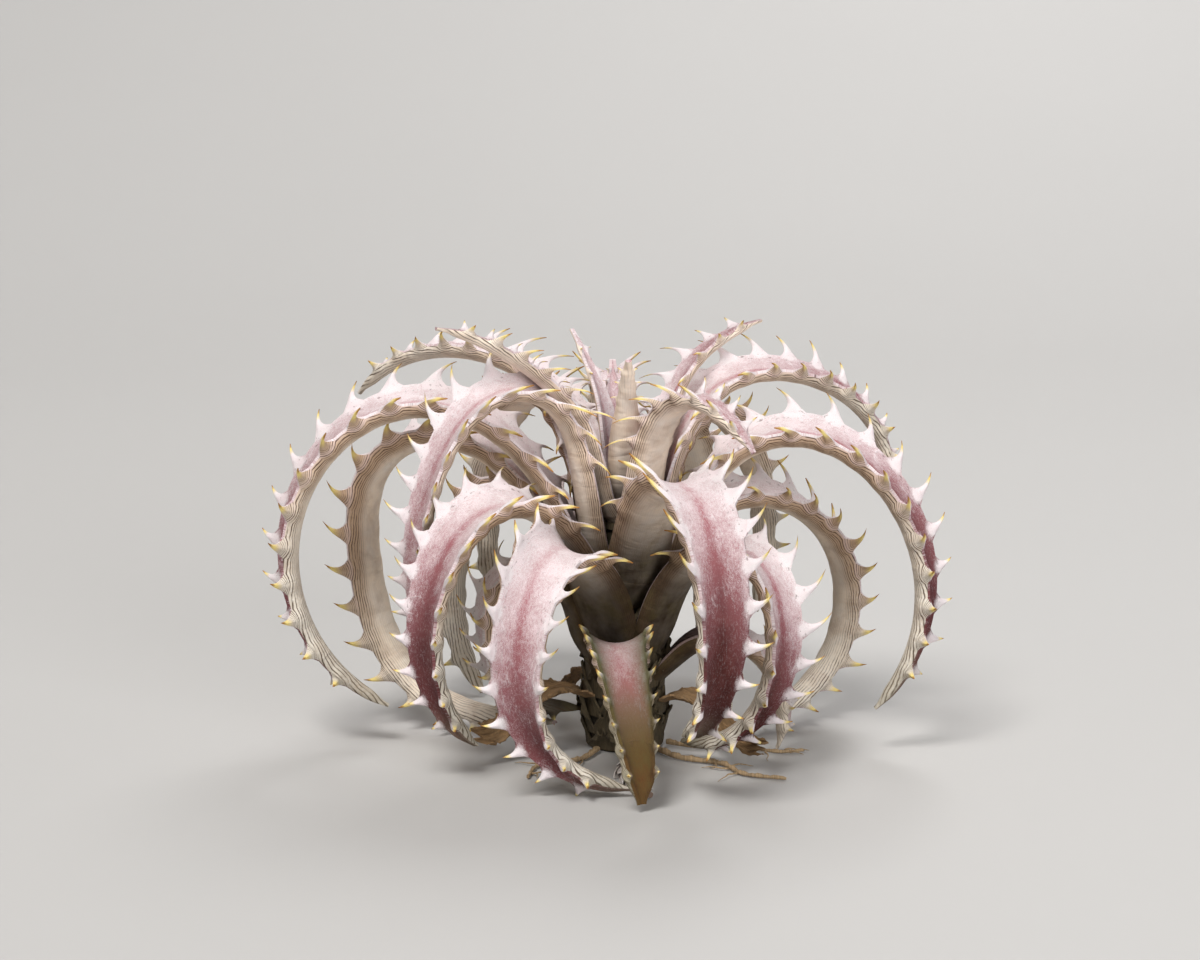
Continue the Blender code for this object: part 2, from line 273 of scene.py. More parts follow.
class Spine:
    """A leaf's centre line, with its direction, its upward normal and its sideways axis."""

    def __init__(self, leaf, roll=0.0):
        self.at = np.linspace(0.0, 1.0, SPINE_STEPS + 1)
        pitch = np.radians(smooth(leaf.pitch, self.at))
        heading = np.radians(leaf.heading + smooth(leaf.swing, self.at))
        level = np.stack([np.cos(heading), np.sin(heading), 0 * heading], 1)
        upright = np.array([0.0, 0.0, 1.0])
        self.along = np.cos(pitch)[:, None] * level + np.sin(pitch)[:, None] * upright
        upper = np.cos(pitch)[:, None] * upright - np.sin(pitch)[:, None] * level
        turn = np.radians(roll * ease(self.at, *ROLL_RUN))
        self.normal, self.side = rolled(upper, np.cross(self.along, upper), turn)
        reach = stem_radius(leaf.root) + ROOT_CLEARANCE
        step = self.along * (leaf.length / SPINE_STEPS)
        self.point = np.concatenate([np.zeros((1, 3)), np.cumsum((step[1:] + step[:-1]) / 2, 0)])
        self.point += reach * level[0] + leaf.root * upright

    def frame(self, at):
        """The point, direction, normal and side at each place along the leaf."""
        tracks = (self.point, self.along, self.normal, self.side)
        return [np.stack([np.interp(at, self.at, axis) for axis in track.T], -1) for track in tracks]


def slow_noise(draw, at, waves, longest):
    """A smooth wander of about -1..1 along a leaf: a few sine waves with drawn phases."""
    total = 0.0 * at
    for wave in range(waves):
        total += np.sin(2 * math.pi * (at * (wave + 1) * longest + draw.random())) / (wave + 1)
    return total / 1.5


# ---------- modelling helpers


def mode(name):
    bpy.ops.object.mode_set(mode=name)


def deselect():
    if bpy.context.object and bpy.context.object.mode != "OBJECT":
        mode("OBJECT")
    bpy.ops.object.select_all(action="DESELECT")


def only(obj):
    deselect()
    obj.select_set(True)
    bpy.context.view_layer.objects.active = obj


def named(obj, name):
    obj.name = name
    obj.data.name = name
    return obj


def corners(mesh):
    """The mesh's vertices as an array of rows."""
    flat = np.empty(len(mesh.vertices) * 3, np.float32)
    mesh.vertices.foreach_get("co", flat)
    return flat.reshape(-1, 3).astype(float)


def place(mesh, points):
    mesh.vertices.foreach_set("co", np.asarray(points, np.float32).ravel())
    mesh.update()


def store(mesh, **fields):
    """Keeps each field as a float attribute of the vertices, for the materials to read."""
    for name, values in fields.items():
        attribute = mesh.attributes.new(name, "FLOAT", "POINT")
        attribute.data.foreach_set("value", np.asarray(values, np.float32).ravel())


def map_grain(mesh, across, along):
    """The piece's UV map, in centimetres across and along it, which grain and lines follow."""
    loops = np.empty(len(mesh.loops), np.int32)
    mesh.loops.foreach_get("vertex_index", loops)
    layer = mesh.uv_layers.active or mesh.uv_layers.new(name=MAP)
    pairs = np.stack([np.asarray(across)[loops], np.asarray(along)[loops]], 1)
    layer.data.foreach_set("uv", pairs.astype(np.float32).ravel())


def finish_with(obj, kind, **settings):
    """Adds a modifier of that kind with those settings, and applies it."""
    only(obj)
    bpy.ops.object.modifier_add(type=kind)
    modifier = obj.modifiers[-1]
    for name, value in settings.items():
        setattr(modifier, name, value)
    bpy.ops.object.modifier_apply(modifier=modifier.name)


def thicken(obj, thickness, offset=-1.0, under=0):
    """Gives a sheet its second face, whose material is that many slots further on."""
    finish_with(obj, "SOLIDIFY", thickness=thickness, offset=offset, material_offset=under)


def weld(obj):
    """Merges the points that meet at tips, and smooths the shading up to the sharp edges."""
    only(obj)
    mode("EDIT")
    bpy.ops.mesh.select_all(action="SELECT")
    bpy.ops.mesh.remove_doubles(threshold=WELD)
    mode("OBJECT")
    bpy.ops.object.shade_smooth_by_angle(angle=CREASE)


def edit_edges(mesh, chosen):
    """Goes into edit mode with the chosen edges selected."""
    mode("EDIT")
    bpy.ops.mesh.select_mode(type="EDGE")
    bpy.ops.mesh.select_all(action="DESELECT")
    mode("OBJECT")
    mesh.edges.foreach_set("select", chosen)
    mode("EDIT")


def turn_faces(inside):
    """Turns all faces of the mesh in edit mode one way, and leaves edit mode."""
    bpy.ops.mesh.select_all(action="SELECT")
    bpy.ops.mesh.normals_make_consistent(inside=inside)
    mode("OBJECT")


def flat_grid(columns, rows):
    """A flat sheet, -1..1 across and along, selected and active."""
    deselect()
    bpy.ops.mesh.primitive_grid_add(x_subdivisions=columns, y_subdivisions=rows, size=2)
    return bpy.context.object


def joined(core, pieces):
    """The core with the pieces made one mesh with it, welded."""
    deselect()
    for piece in pieces:
        piece.select_set(True)
    core.select_set(True)
    bpy.context.view_layer.objects.active = core
    bpy.ops.object.join()
    weld(core)
    return core


def map_from_above(mesh):
    """The grain map of a piece that lies along the ground, as seen from above."""
    points = corners(mesh)
    map_grain(mesh, points[:, 0] * M_IN_CM, points[:, 1] * M_IN_CM)


def open_sheet(size):
    """A flat sheet, and how far across (-1..1) and along it (0..1) each of its points lies."""
    sheet = flat_grid(*size)
    flat = corners(sheet.data)
    return sheet, flat[:, 0], (flat[:, 1] + 1) / 2


def dress(obj, node, slot, *materials):
    """Makes the piece stand for its node, clear of the floor and in its materials."""
    points = corners(obj.data)
    points[:, 2] = np.maximum(points[:, 2], LOWEST)
    place(obj.data, points)
    for material in materials:
        obj.data.materials.append(material)
    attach(obj, BODY)
    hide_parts(node)


# ---------- leaves

# Millimetres and degrees. A SHAPE gives values from root to tip, and a RUN a start and an end.
WIDTH_SHAPE = (0.95, 1.10, 1.20, 0.98, 0.62, 0.16)
WIDTH_WANDER = 0.04
CURL_WANDER = 4
ROLL_RUN = (0.10, 0.40)
BASE_FLARE = 1.5
FLARE_RUN = (4.0, 26.0)
TAPER = 0.92
TIP_LENGTH = 5.0
THICKNESS_SHAPE = (0.60, 0.80, 1.0, 1.0, 0.90, 0.55)
TIP_THINNING = 0.6
FULL_WIDTH = 9.5
CROWN_POWER = 2.2
RIPPLE = 0.10
ROOT_SINK = 2.0
ROOT_SINK_RUN = 7.0
# Below these heights and within these radii around the stem, the leaves get painted shade for the
# rosette's dark heart.
HEART_HEIGHTS = (38.0, 58.0)
HEART_RADII = (13.0, 30.0)

# Teeth: the claw is how slowly a tooth narrows, and it starts as a slim spine near the root.
LEAN_SHAPE = (1.5, 1.1, 0.8, 0.6, 0.3, -0.3)
CLAW = 0.46
SPINE_CLAW = 0.15
CLAW_RUN = (24.0, 48.0)
CLAW_POWER = 0.8
FOOT_POWER = 5.0
HOOK_POWER = 2.4
TOOTH_SWAY = 0.08
TOOTH_BEVEL = 0.75
POINT_THICKNESS = 0.12
TOOTH_ON_MAP = 5
ON_TOOTH = 0.001


class LeafRows:
    """Where the rows of a leaf's sheet lie along it, and which of them carry a tooth."""

    def __init__(self, leaf):
        self.leaf = leaf
        self.first = BARE_ROOT / leaf.length
        self.pitch = (LAST_TOOTH - self.first) / leaf.teeth
        self.count = ROOT_ROWS + leaf.teeth * ROWS_PER_TOOTH + TIP_ROWS
        self.end = self.count - TIP_ROWS

    def at(self, row):
        return np.interp(row, (0, ROOT_ROWS, self.end, self.count), (0.0, self.first, LAST_TOOTH, 1.0))

    def is_foot(self, row):
        """True for the rows whose step to the next one lies in the foot of a tooth."""
        inside = (row >= ROOT_ROWS) & (row < self.end)
        step = (row - ROOT_ROWS) % ROWS_PER_TOOTH
        return inside & (step >= FOOT_START) & (step < FOOT_START + FOOT_ROWS)

    def tooth(self, row):
        """Each row's tooth number, that tooth's middle, and the row's place from -1 to 1 on its foot."""
        number = np.clip((row - ROOT_ROWS) // ROWS_PER_TOOTH, 0, self.leaf.teeth - 1).astype(int)
        half_foot = FOOT_ROWS / 2 / ROWS_PER_TOOTH * self.pitch
        middle = self.first + (number + FOOT_START / ROWS_PER_TOOTH) * self.pitch + half_foot
        return number, middle, np.clip((self.at(row) - middle) / half_foot, -1.0, 1.0)


def cut_sheet(leaf, rows):
    """The leaf laid flat: x across it, past 1 out to the teeth's points, and y its row."""
    sheet = named(flat_grid(LEAF_COLUMNS, rows.count), f"{leaf.name}_felted")
    mesh = sheet.data
    points = corners(mesh)
    row = np.rint((points[:, 1] + 1) / 2 * rows.count)
    ends = np.empty(len(mesh.edges) * 2, np.int32)
    mesh.edges.foreach_get("vertices", ends)
    ends = ends.reshape(-1, 2)
    across = points[ends, 0]
    low = row[ends].min(1)
    outer = (np.abs(across) > 0.999).all(1) & (row[ends].max(1) > low)
    edit_edges(mesh, outer & rows.is_foot(low))
    for step in range(1, TOOTH_STEPS + 1):
        grow = (TOOTH_STEPS + step) / (TOOTH_STEPS + step - 1)
        bpy.ops.mesh.extrude_edges_move()
        bpy.ops.transform.resize(value=(grow, 1, 1), center_override=(0, 0, 0))
    mode("OBJECT")
    return sheet


def half_width(leaf, base, draw):
    """Half the blade's width along it: flared at the root and drawn in at the tip."""
    run = base * leaf.length
    half = leaf.width / 2 * smooth(WIDTH_SHAPE, base)
    half *= 1 + WIDTH_WANDER * slow_noise(draw, base, 3, 2.0)
    half += BASE_FLARE * (1 - ease(run, *FLARE_RUN))
    half += leaf.blunt * leaf.width / 2 * ease(base, 0.5, 1.0)
    return half * np.sqrt(1 - TAPER * ease(run, leaf.length - TIP_LENGTH, leaf.length))


def wall_thickness(leaf, sizes, crown, base, reach, along_foot, foot):
    """Thickness of the blade, down to its rim, and of the teeth, down to their points."""
    stout = min(1.0, (leaf.width / FULL_WIDTH) ** 1.5)
    rim = (sizes.margin + (sizes.tooth_thickness - sizes.margin) * foot * stout) / MM
    middle = sizes.thickness / MM * smooth(THICKNESS_SHAPE, base) * leaf.width / FULL_WIDTH
    middle *= 1 - TIP_THINNING * ease(base * leaf.length, leaf.length - TIP_LENGTH, leaf.length)
    blade = rim + (np.maximum(middle, rim) - rim) * crown
    lens = 1 - TOOTH_BEVEL * along_foot**2
    tooth = rim * (POINT_THICKNESS + (1 - POINT_THICKNESS) * (1 - reach) ** 0.8) * lens
    return np.where(reach > ON_TOOTH, rim + (tooth - rim) * ease(reach, 0.0, 0.3), blade)


def shape_leaf(leaf, rows, flat, sizes, draw):
    """Bends the flat sheet along the spine, curls its margins up and hooks its teeth back."""
    spine = Spine(leaf, leaf.roll)
    row = np.rint((flat[:, 1] + 1) / 2 * rows.count)
    at = rows.at(row)
    across = np.clip(flat[:, 0], -1.0, 1.0)
    reach = np.clip(np.abs(flat[:, 0]) - 1, 0.0, 1.0)
    under = flat[:, 2] < -FLAT_WALL / 2
    number, middle, along_foot = rows.tooth(row)
    on_tooth = reach > ON_TOOTH
    claw = SPINE_CLAW + (CLAW - SPINE_CLAW) * ease(middle * leaf.length, *CLAW_RUN)
    slim = (1 - claw) * (1 - reach) ** FOOT_POWER + claw * (1 - reach) ** CLAW_POWER
    base = np.where(on_tooth, middle + (at - middle) * slim, at)

    point, _, normal, side = spine.frame(base)
    half = half_width(leaf, base, draw)
    curl = np.radians(smooth(CURL, base) + CURL_WANDER * slow_noise(draw, base, 3, 1.5))
    turn = curl * across
    radius = half / curl
    blade = point + side * (radius * np.sin(turn))[:, None]
    blade += normal * (radius * (1 - np.cos(turn)))[:, None]

    edge = np.sign(across)
    lift = np.radians(np.minimum(smooth(CURL, middle) + TOOTH_RISE, TOOTH_LIFT))
    _, tooth_along, tooth_normal, tooth_side = spine.frame(middle)
    out = tooth_side * (edge * np.cos(lift))[:, None] + tooth_normal * np.sin(lift)[:, None]
    picks = np.array([[draw.uniform(-1, 1) for _ in range(3)] for _ in range(2 * leaf.teeth)])
    pick = picks[number + leaf.teeth * (edge > 0)]
    height = leaf.bite * sizes.tooth_height / MM * smooth(TOOTH_SHAPE, middle)
    height *= 1 + sizes.variation * pick[:, 0]
    lean = sizes.tooth_lean * smooth(LEAN_SHAPE, middle) * (1 + sizes.variation * pick[:, 1])
    rise = height * reach
    hook = height * lean * reach**HOOK_POWER
    sway = TOOTH_SWAY * height * reach**2 * pick[:, 2]
    tilt = np.where(on_tooth, edge * (lift + (np.abs(turn) - lift) * (1 - reach) ** 4), turn)
    face, _ = rolled(normal, side, tilt)
    shaped = blade + out * rise[:, None] - tooth_along * hook[:, None] + face * sway[:, None]

    crown = np.sqrt(np.clip(1 - np.abs(across) ** CROWN_POWER, 0.0, 1.0))
    foot = np.where(rows.is_foot(row), 1 - along_foot**2, 0.0)
    thick = wall_thickness(leaf, sizes, crown, base, reach, along_foot, foot)
    bulge = np.where(on_tooth, 0.5 * thick * (1 - (1 - reach) ** 4), 0.0)
    ripple = RIPPLE * slow_noise(draw, at, 4, 5.0) * crown
    shaped += face * np.where(under, bulge - thick, bulge + ripple)[:, None]

    inward = np.clip(1 - at * leaf.length / ROOT_SINK_RUN, 0.0, 1.0) ** 2 * ROOT_SINK
    heading = math.radians(leaf.heading)
    shaped -= inward[:, None] * np.array([math.cos(heading), math.sin(heading), 0.0])
    away = np.hypot(shaped[:, 0], shaped[:, 1])
    # heart: how far into the rosette's shaded middle the point lies, for the painted shade.
    heart = (1 - ease(shaped[:, 2], *HEART_HEIGHTS)) * (1 - ease(away, *HEART_RADII))
    return shaped * MM, SimpleNamespace(
        at=at, across=across, reach=reach, foot=foot, half=half, under=under, heart=heart
    )


# Leaf lengths and root heights between which these looks set in. Millimetres.
OLD_LENGTHS = (50.0, 95.0)
GROWN_LENGTHS = (30.0, 58.0)
HIGH_ROOTS = (26.0, 42.0)
# SHADED_ROOT: the first millimetres of each leaf get painted shade.
SHADED_ROOT = (5.0, 18.0)

# Shares of the leaf, from its root to its tip, over which these looks set in.
BARE_RUN = (0.38, 0.80)
STREAK_IN = (0.10, 0.2)
STREAK_OUT = (0.5, 0.75)
FLANK_OUT = (0.55, 0.85)
TAIL_RUN = (0.5, 0.8)
DRY_RUN = (0.84, 1.0)
OLIVE_DRY_RUN = (0.55, 0.95)


def felt_cover(leaf, bare, fields):
    """How thick the white felt lies: thin on bare skin, thick on the teeth and their feet."""
    across, reach, foot = np.abs(fields.across), fields.reach, fields.foot
    rim = 0.15 * across**7 + 0.90 * foot**2 * ease(across, 0.74, 1.0)
    blade = 0.90 - 1.25 * bare - 0.28 * leaf.olive + rim
    tooth = 0.75 + 0.55 * ease(reach, 0.0, 0.18)
    on_tooth = (reach > 0) * ease(foot + 2.5 * reach, 0.25, 0.9)
    return blade + (tooth - blade) * on_tooth


def middle_streak(leaf, fields):
    """A rosy line down the middle, as strong and as straight as chance makes it."""
    at = fields.at
    draw = random.Random(f"{leaf.name} looks")
    strength = draw.uniform(0.55, 1.15)
    middle = draw.uniform(-0.10, 0.10) + 0.10 * slow_noise(draw, at, 2, 1.2)
    line = strength * (1 - ease(np.abs(fields.across - middle), 0.03, 0.24))
    return line * ease(at, *STREAK_IN) * (1 - ease(at, *STREAK_OUT)) * (1 - 0.7 * leaf.olive)


def leaf_looks(leaf, fields):
    """How much felt, burgundy, horn and olive each point of the leaf has."""
    at, across, reach = fields.at, np.abs(fields.across), fields.reach
    bare = leaf.dark * ease(at + 0.05 * (1 - 2 * across), *BARE_RUN)
    aged = 0.35 + 0.65 * leaf.dark
    old = float(ease(leaf.length, *OLD_LENGTHS)) * aged
    grown = float(ease(leaf.length, *GROWN_LENGTHS))
    high = float(ease(leaf.root, *HIGH_ROOTS))
    horn = np.where(fields.under, ease(reach, 0.22, 0.95), ease(reach, 0.52, 0.95))
    green = np.maximum(0.20 + 0.80 * across**1.5, ease(at, 0.48, 0.86))
    ribbed = np.maximum(ease(across, 0.46, 0.84), aged * ease(at, 0.60, 0.88))
    # Painted shade: dark in the heart of the rosette and near each leaf's root, less on leaves rooted
    # high in the crown.
    shade = np.maximum(fields.heart, (1 - 0.5 * high) * (1 - ease(at * leaf.length, *SHADED_ROOT)))
    lip = ease(across, 0.88, 1.0) * (1 - ease(reach, 0.0, 0.4))
    return {
        "frost": felt_cover(leaf, bare, fields),
        "streak": middle_streak(leaf, fields),
        "blush": bare,
        "horn": horn,
        "olive": leaf.olive * green * (1 - 0.8 * ease(reach, 0.2, 0.9)),
        "dry": np.maximum(old * ease(at, *DRY_RUN), leaf.olive * ease(at, *OLIVE_DRY_RUN)),
        "shade": shade,
        "flank": ease(across, 0.38, 0.80) * (1 - ease(at, *FLANK_OUT)) * (1 - 0.45 * high),
        "ribbed": ribbed * (0.25 + 0.75 * grown) * (1 - 0.8 * ease(reach, 0.0, 0.4)),
        "tail": old * ease(at, *TAIL_RUN),
        "rim": ease(across, 0.45, 0.9) * (1 - ease(reach, 0.0, 0.3)),
        "lip": lip * (1 - 0.6 * ease(at, *TAIL_RUN)) * (1 - shade),
    }


def make_leaf(index, leaf, sizes, materials):
    rows = LeafRows(leaf)
    sheet = cut_sheet(leaf, rows)
    for material in materials:
        sheet.data.materials.append(material)
    thicken(sheet, FLAT_WALL, under=1)
    points, fields = shape_leaf(leaf, rows, corners(sheet.data), sizes, random.Random(leaf.name))
    place(sheet.data, points)
    store(sheet.data, **leaf_looks(leaf, fields))
    out = fields.across * fields.half + np.sign(fields.across) * fields.reach * TOOTH_ON_MAP
    map_grain(sheet.data, out * MM_IN_CM + index, fields.at * leaf.length * MM_IN_CM)
    weld(sheet)
    dress(sheet, leaf.name, "leaf_felt")


# ---------- withered leaves

STRIP_GRID = (14, 60)
STRIP_WALL = 0.45 * MM
STRIP_TEAR = 0.16
STRIP_RAGGED = 1.6


def make_strip(index, strip, material):
    """A dry leaf: twisted, wrinkled along its length, and torn at its edges and its end."""
    sheet, across, at = open_sheet(STRIP_GRID)
    named(sheet, f"{strip.name}_dry")
    draw = random.Random(strip.name)
    point, along, normal, side = Spine(strip).frame(at)
    turn = np.radians(strip.twist) * at**2
    torn = 1 + STRIP_TEAR * slow_noise(draw, at, 6, 6.0) * np.abs(across)
    half = strip.width / 2 * smooth(STRIP_SHAPE, at) * across * torn
    wrinkle = 0.22 * np.sin(across * 9 + 2 * slow_noise(draw, at, 3, 2.0))
    wrinkle += 0.35 * slow_noise(draw, at + 0.2 * across, 4, 3.0)
    fold = STRIP_FOLD * np.abs(half) + wrinkle * ease(at, 0.0, 0.15)
    upright, tilted = rolled(normal, side, turn)
    ragged = STRIP_RAGGED * np.sin(across * 7 + strip.heading) * ease(at, 0.75, 1.0)
    shaped = point + tilted * half[:, None] + upright * fold[:, None] + along * ragged[:, None]
    place(sheet.data, shaped * MM)
    map_grain(sheet.data, half * MM_IN_CM + index, at * strip.length * MM_IN_CM)
    thicken(sheet, STRIP_WALL)
    weld(sheet)
    dress(sheet, strip.name, "withered_leaf", material)


# ---------- stem

STEM_TOP = 54.0
STEM_SIDES = 64
STEM_RINGS = 36
CORE_INSET = 0.8
KNOB_HEIGHT = 0.3 * MM
RIND_TURN_CM = 0.7
BASE_GRID = (12, 12)
BASE_RINGS = 14
BASES_IN_RING = 6
RING_RISE = 3.4
BASE_INSET = 0.75
BASE_WALL = 0.35 * MM
LAST_PROFILE = STEM_PROFILE[-1][0]


def core_radius(height):
    return max(float(stem_radius(height)) - CORE_INSET, CORE_INSET)


def make_core():
    """The stem's rough core, drawn up ring by ring from its foot."""
    deselect()
    wide = core_radius(0)
    bpy.ops.mesh.primitive_circle_add(vertices=STEM_SIDES, radius=wide * MM, fill_type="NGON")
    core = named(bpy.context.object, "stem_clad")
    mode("EDIT")
    bpy.ops.mesh.select_all(action="SELECT")
    rise = STEM_TOP / STEM_RINGS * MM
    for ring in range(1, STEM_RINGS + 1):
        height = STEM_TOP * ring / STEM_RINGS
        radius = core_radius(height)
        bpy.ops.mesh.extrude_region_move(TRANSFORM_OT_translate={"value": (0, 0, rise)})
        bpy.ops.transform.resize(
            value=(radius / wide, radius / wide, 1), center_override=(0, 0, height * MM)
        )
        wide = radius
    turn_faces(inside=False)
    points = corners(core.data)
    turn = np.arctan2(points[:, 1], points[:, 0])
    knobs = 0.5 * np.sin(9 * turn + points[:, 2] * 900) + 0.4 * np.sin(17 * turn - points[:, 2] * 1700)
    away = np.hypot(points[:, 0], points[:, 1])
    inside = (points[:, 2] > 0.5 * MM) & (away > MM)
    points[:, :2] *= (1 + np.where(inside, knobs * KNOB_HEIGHT / np.maximum(away, MM), 0.0))[:, None]
    place(core.data, points)
    map_grain(core.data, turn * RIND_TURN_CM, points[:, 2] * M_IN_CM)
    return core


def old_leaf_base(draw, ring, number):
    """One clasping dry base: broad at its foot, split and pointed at its ragged top."""
    sheet, across, up = open_sheet(BASE_GRID)
    foot = 0.5 + ring * RING_RISE + draw.uniform(-1.2, 1.2) * min(ring, 1)
    tall = draw.uniform(4.0, 9.5)
    middle = math.radians(360 / BASES_IN_RING * number + GOLDEN_ANGLE * ring + draw.uniform(-14, 14))
    spread = math.radians(draw.uniform(26, 44))
    split = draw.uniform(0.0, 6.0)
    ragged = 1 - 0.34 * np.abs(across) ** 1.5 + 0.16 * np.sin(across * 9 + split) * up
    height = foot + tall * up * ragged
    turn = middle + spread * across * (1 - 0.72 * up**1.6) + 0.12 * math.sin(split) * up
    out = 0.20 + draw.uniform(0.2, 1.8) * up**2.4 + 0.5 * up * np.abs(across)
    out += 0.24 * np.sin(across * 12 + split) * up
    radius = stem_radius(np.minimum(height, LAST_PROFILE)) - BASE_INSET + out
    shaped = np.stack([np.cos(turn) * radius, np.sin(turn) * radius, height], 1)
    place(sheet.data, shaped * MM)
    map_grain(sheet.data, across * spread * RIND_TURN_CM + number, up * tall * MM_IN_CM + ring)
    thicken(sheet, BASE_WALL, offset=1.0)
    return sheet


def make_stem(bark, old_base):
    """The core, wrapped in the dry bases of dropped leaves."""
    core = make_core()
    core.data.materials.append(bark)
    draw = random.Random("old bases")
    places = [(ring, number) for ring in range(BASE_RINGS) for number in range(BASES_IN_RING)]
    scales = [old_leaf_base(draw, ring, number) for ring, number in places]
    for scale in scales:
        scale.data.materials.append(old_base)
    dress(joined(core, scales), "stem", "stem_bark")


# ---------- roots and stalk

TUBE_STEPS = 14
ROOTLETS = 5
ROOTLET_STEPS = 11
ROOTLET_RADIUS = 0.22
STALK_CORE = 0.78
BRACT_GRID = (8, 8)
BRACT_WALL = 0.16 * MM


def wire(name, lines):
    """One mesh of smooth round wires; each line is a list of (x, y, z, radius) in millimetres."""
    curve = bpy.data.curves.new(name, "CURVE")
    curve.dimensions = "3D"
    curve.bevel_depth = MM
    curve.bevel_resolution = 3
    curve.use_fill_caps = True
    for line in lines:
        spline = curve.splines.new("POLY")
        spline.points.add(len(line) - 1)
        for point, (x, y, z, radius) in zip(spline.points, line):
            point.co = (x * MM, y * MM, z * MM, 1.0)
            point.radius = radius
    obj = bpy.data.objects.new(name, curve)
    bpy.context.scene.collection.objects.link(obj)
    only(obj)
    bpy.ops.object.convert(target="MESH")
    return bpy.context.object


def run_of(root, steps):
    """Places along a root with its radius there, in millimetres."""
    at = np.linspace(0.0, 1.0, steps + 1)
    east, north = (smooth(axis, at) for axis in zip(*root.points))
    radius = 0.5 * (root.thickness + (root.tip - root.thickness) * at)
    return at, east, north, radius


def rootlet(draw, x, y, heading, reach, radius):
    """A fine side root that wanders off along the ground."""
    line = []
    for step in range(ROOTLET_STEPS + 1):
        done = step / ROOTLET_STEPS
        size = radius * (1 - 0.75 * done)
        line.append((x, y, size + FLOOR_GAP * 0.5 + 0.4 * math.sin(done * 3.1), size))
        heading += draw.uniform(-0.5, 0.5)
        x += reach / ROOTLET_STEPS * math.cos(heading)
        y += reach / ROOTLET_STEPS * math.sin(heading)
    return line


def make_root(root, material):
    """A knotty root with fine side roots."""
    draw = random.Random(root.name)
    steps = TUBE_STEPS * (len(root.points) - 1)
    at, east, north, radius = run_of(root, steps)
    knots = 1 + 0.14 * np.sin(at * 60 + draw.uniform(0, 6)) + 0.10 * np.sin(at * 143)
    size = radius * knots
    lines = [list(zip(east, north, size + FLOOR_GAP, size))]
    for _ in range(ROOTLETS):
        pick = draw.randint(int(steps * 0.3), steps - 3)
        forward = math.atan2(north[pick + 1] - north[pick], east[pick + 1] - east[pick])
        heading = forward + draw.choice((-1, 1)) * draw.uniform(0.5, 1.1)
        lines.append(rootlet(draw, east[pick], north[pick], heading, draw.uniform(3, 7), ROOTLET_RADIUS))
    made = named(wire(root.name, lines), f"{root.name}_wiry")
    map_from_above(made.data)
    weld(made)
    dress(made, root.name, "root_fibre", material)


def stalk_scale(draw, spot, forward, radius, turn):
    """A small pointed bract that hugs the stalk."""
    sheet, across, up = open_sheet(BRACT_GRID)
    tall = draw.uniform(3.2, 4.4)
    narrow = np.clip(1 - up**1.8, 0.0, 1.0)
    angle = turn + across * 1.25 * narrow
    level = np.array([-forward[1], forward[0], 0.0])
    away = radius + 0.12 + 0.30 * up**2
    shaped = np.array(spot) + np.outer(up * tall, forward)
    shaped += np.outer(np.cos(angle) * away, level) + np.outer(np.sin(angle) * away, (0, 0, 1))
    shaped[:, 2] = np.maximum(shaped[:, 2], 0.06)
    place(sheet.data, shaped * MM)
    store(sheet.data, scale=up)
    map_grain(sheet.data, across * 0.15, up * tall * MM_IN_CM)
    thicken(sheet, BRACT_WALL, offset=1.0)
    return sheet


def make_stalk(material):
    """The dry flower stalk that lies on the ground, in overlapping silvery bracts."""
    draw = random.Random("stalk")
    steps = TUBE_STEPS * (len(STALK.points) - 1)
    _, east, north, radius = run_of(STALK, steps)
    radius = radius * STALK_CORE
    core = wire("old_stalk", [list(zip(east, north, radius + FLOOR_GAP, radius))])
    named(core, "old_stalk_scaly")
    store(core.data, scale=np.zeros(len(core.data.vertices)))
    map_from_above(core.data)
    scales = []
    for number, pick in enumerate(range(1, steps - 3, 2)):
        forward = np.array([east[pick + 1] - east[pick], north[pick + 1] - north[pick], 0.0])
        forward /= np.linalg.norm(forward)
        spot = (east[pick], north[pick], radius[pick] + FLOOR_GAP)
        turn = math.radians(GOLDEN_ANGLE * number)
        scales.append(stalk_scale(draw, spot, forward, radius[pick], turn))
    dress(joined(core, scales), "old_stalk", "root_fibre", material)


# ---------- materials

WARM_FELT = (0.82, 0.70, 0.72)
WORN_FELT = (0.50, 0.39, 0.38)
BLOTCH = (0.28, 0.09, 0.085)
GRIME = (0.11, 0.055, 0.045)
DRY_END = (0.24, 0.20, 0.14)
OLIVE_END = (0.105, 0.042, 0.012)
# UPPER_SHADE: painted shade on the upper face in the heart of the rosette.
UPPER_SHADE = (0.09, 0.045, 0.035)
WARM_UNDER = (0.84, 0.75, 0.66)
UNDER_STAIN = (0.36, 0.235, 0.155)
UNDER_FROST = (0.80, 0.76, 0.72)
# BROWN_SHADE and OLIVE_SHADE: painted shade for the undersides in the heart, warm brown to olive.
BROWN_SHADE = (0.020, 0.010, 0.003)
OLIVE_SHADE = (0.046, 0.034, 0.009)
LIP = (0.80, 0.62, 0.58)
UNDER_DRY = (0.20, 0.18, 0.12)
MOSS = (0.07, 0.075, 0.025)
BRACT_POINT = (0.75, 0.70, 0.68)
STALK_RIND = (0.16, 0.10, 0.07)
RIB_WAVES = 185.0
MAP = "UVMap"


def tinted(base, gain):
    """The colour made darker or lighter, no channel past 1."""
    return tuple(min(gain * channel, 1.0) for channel in base)


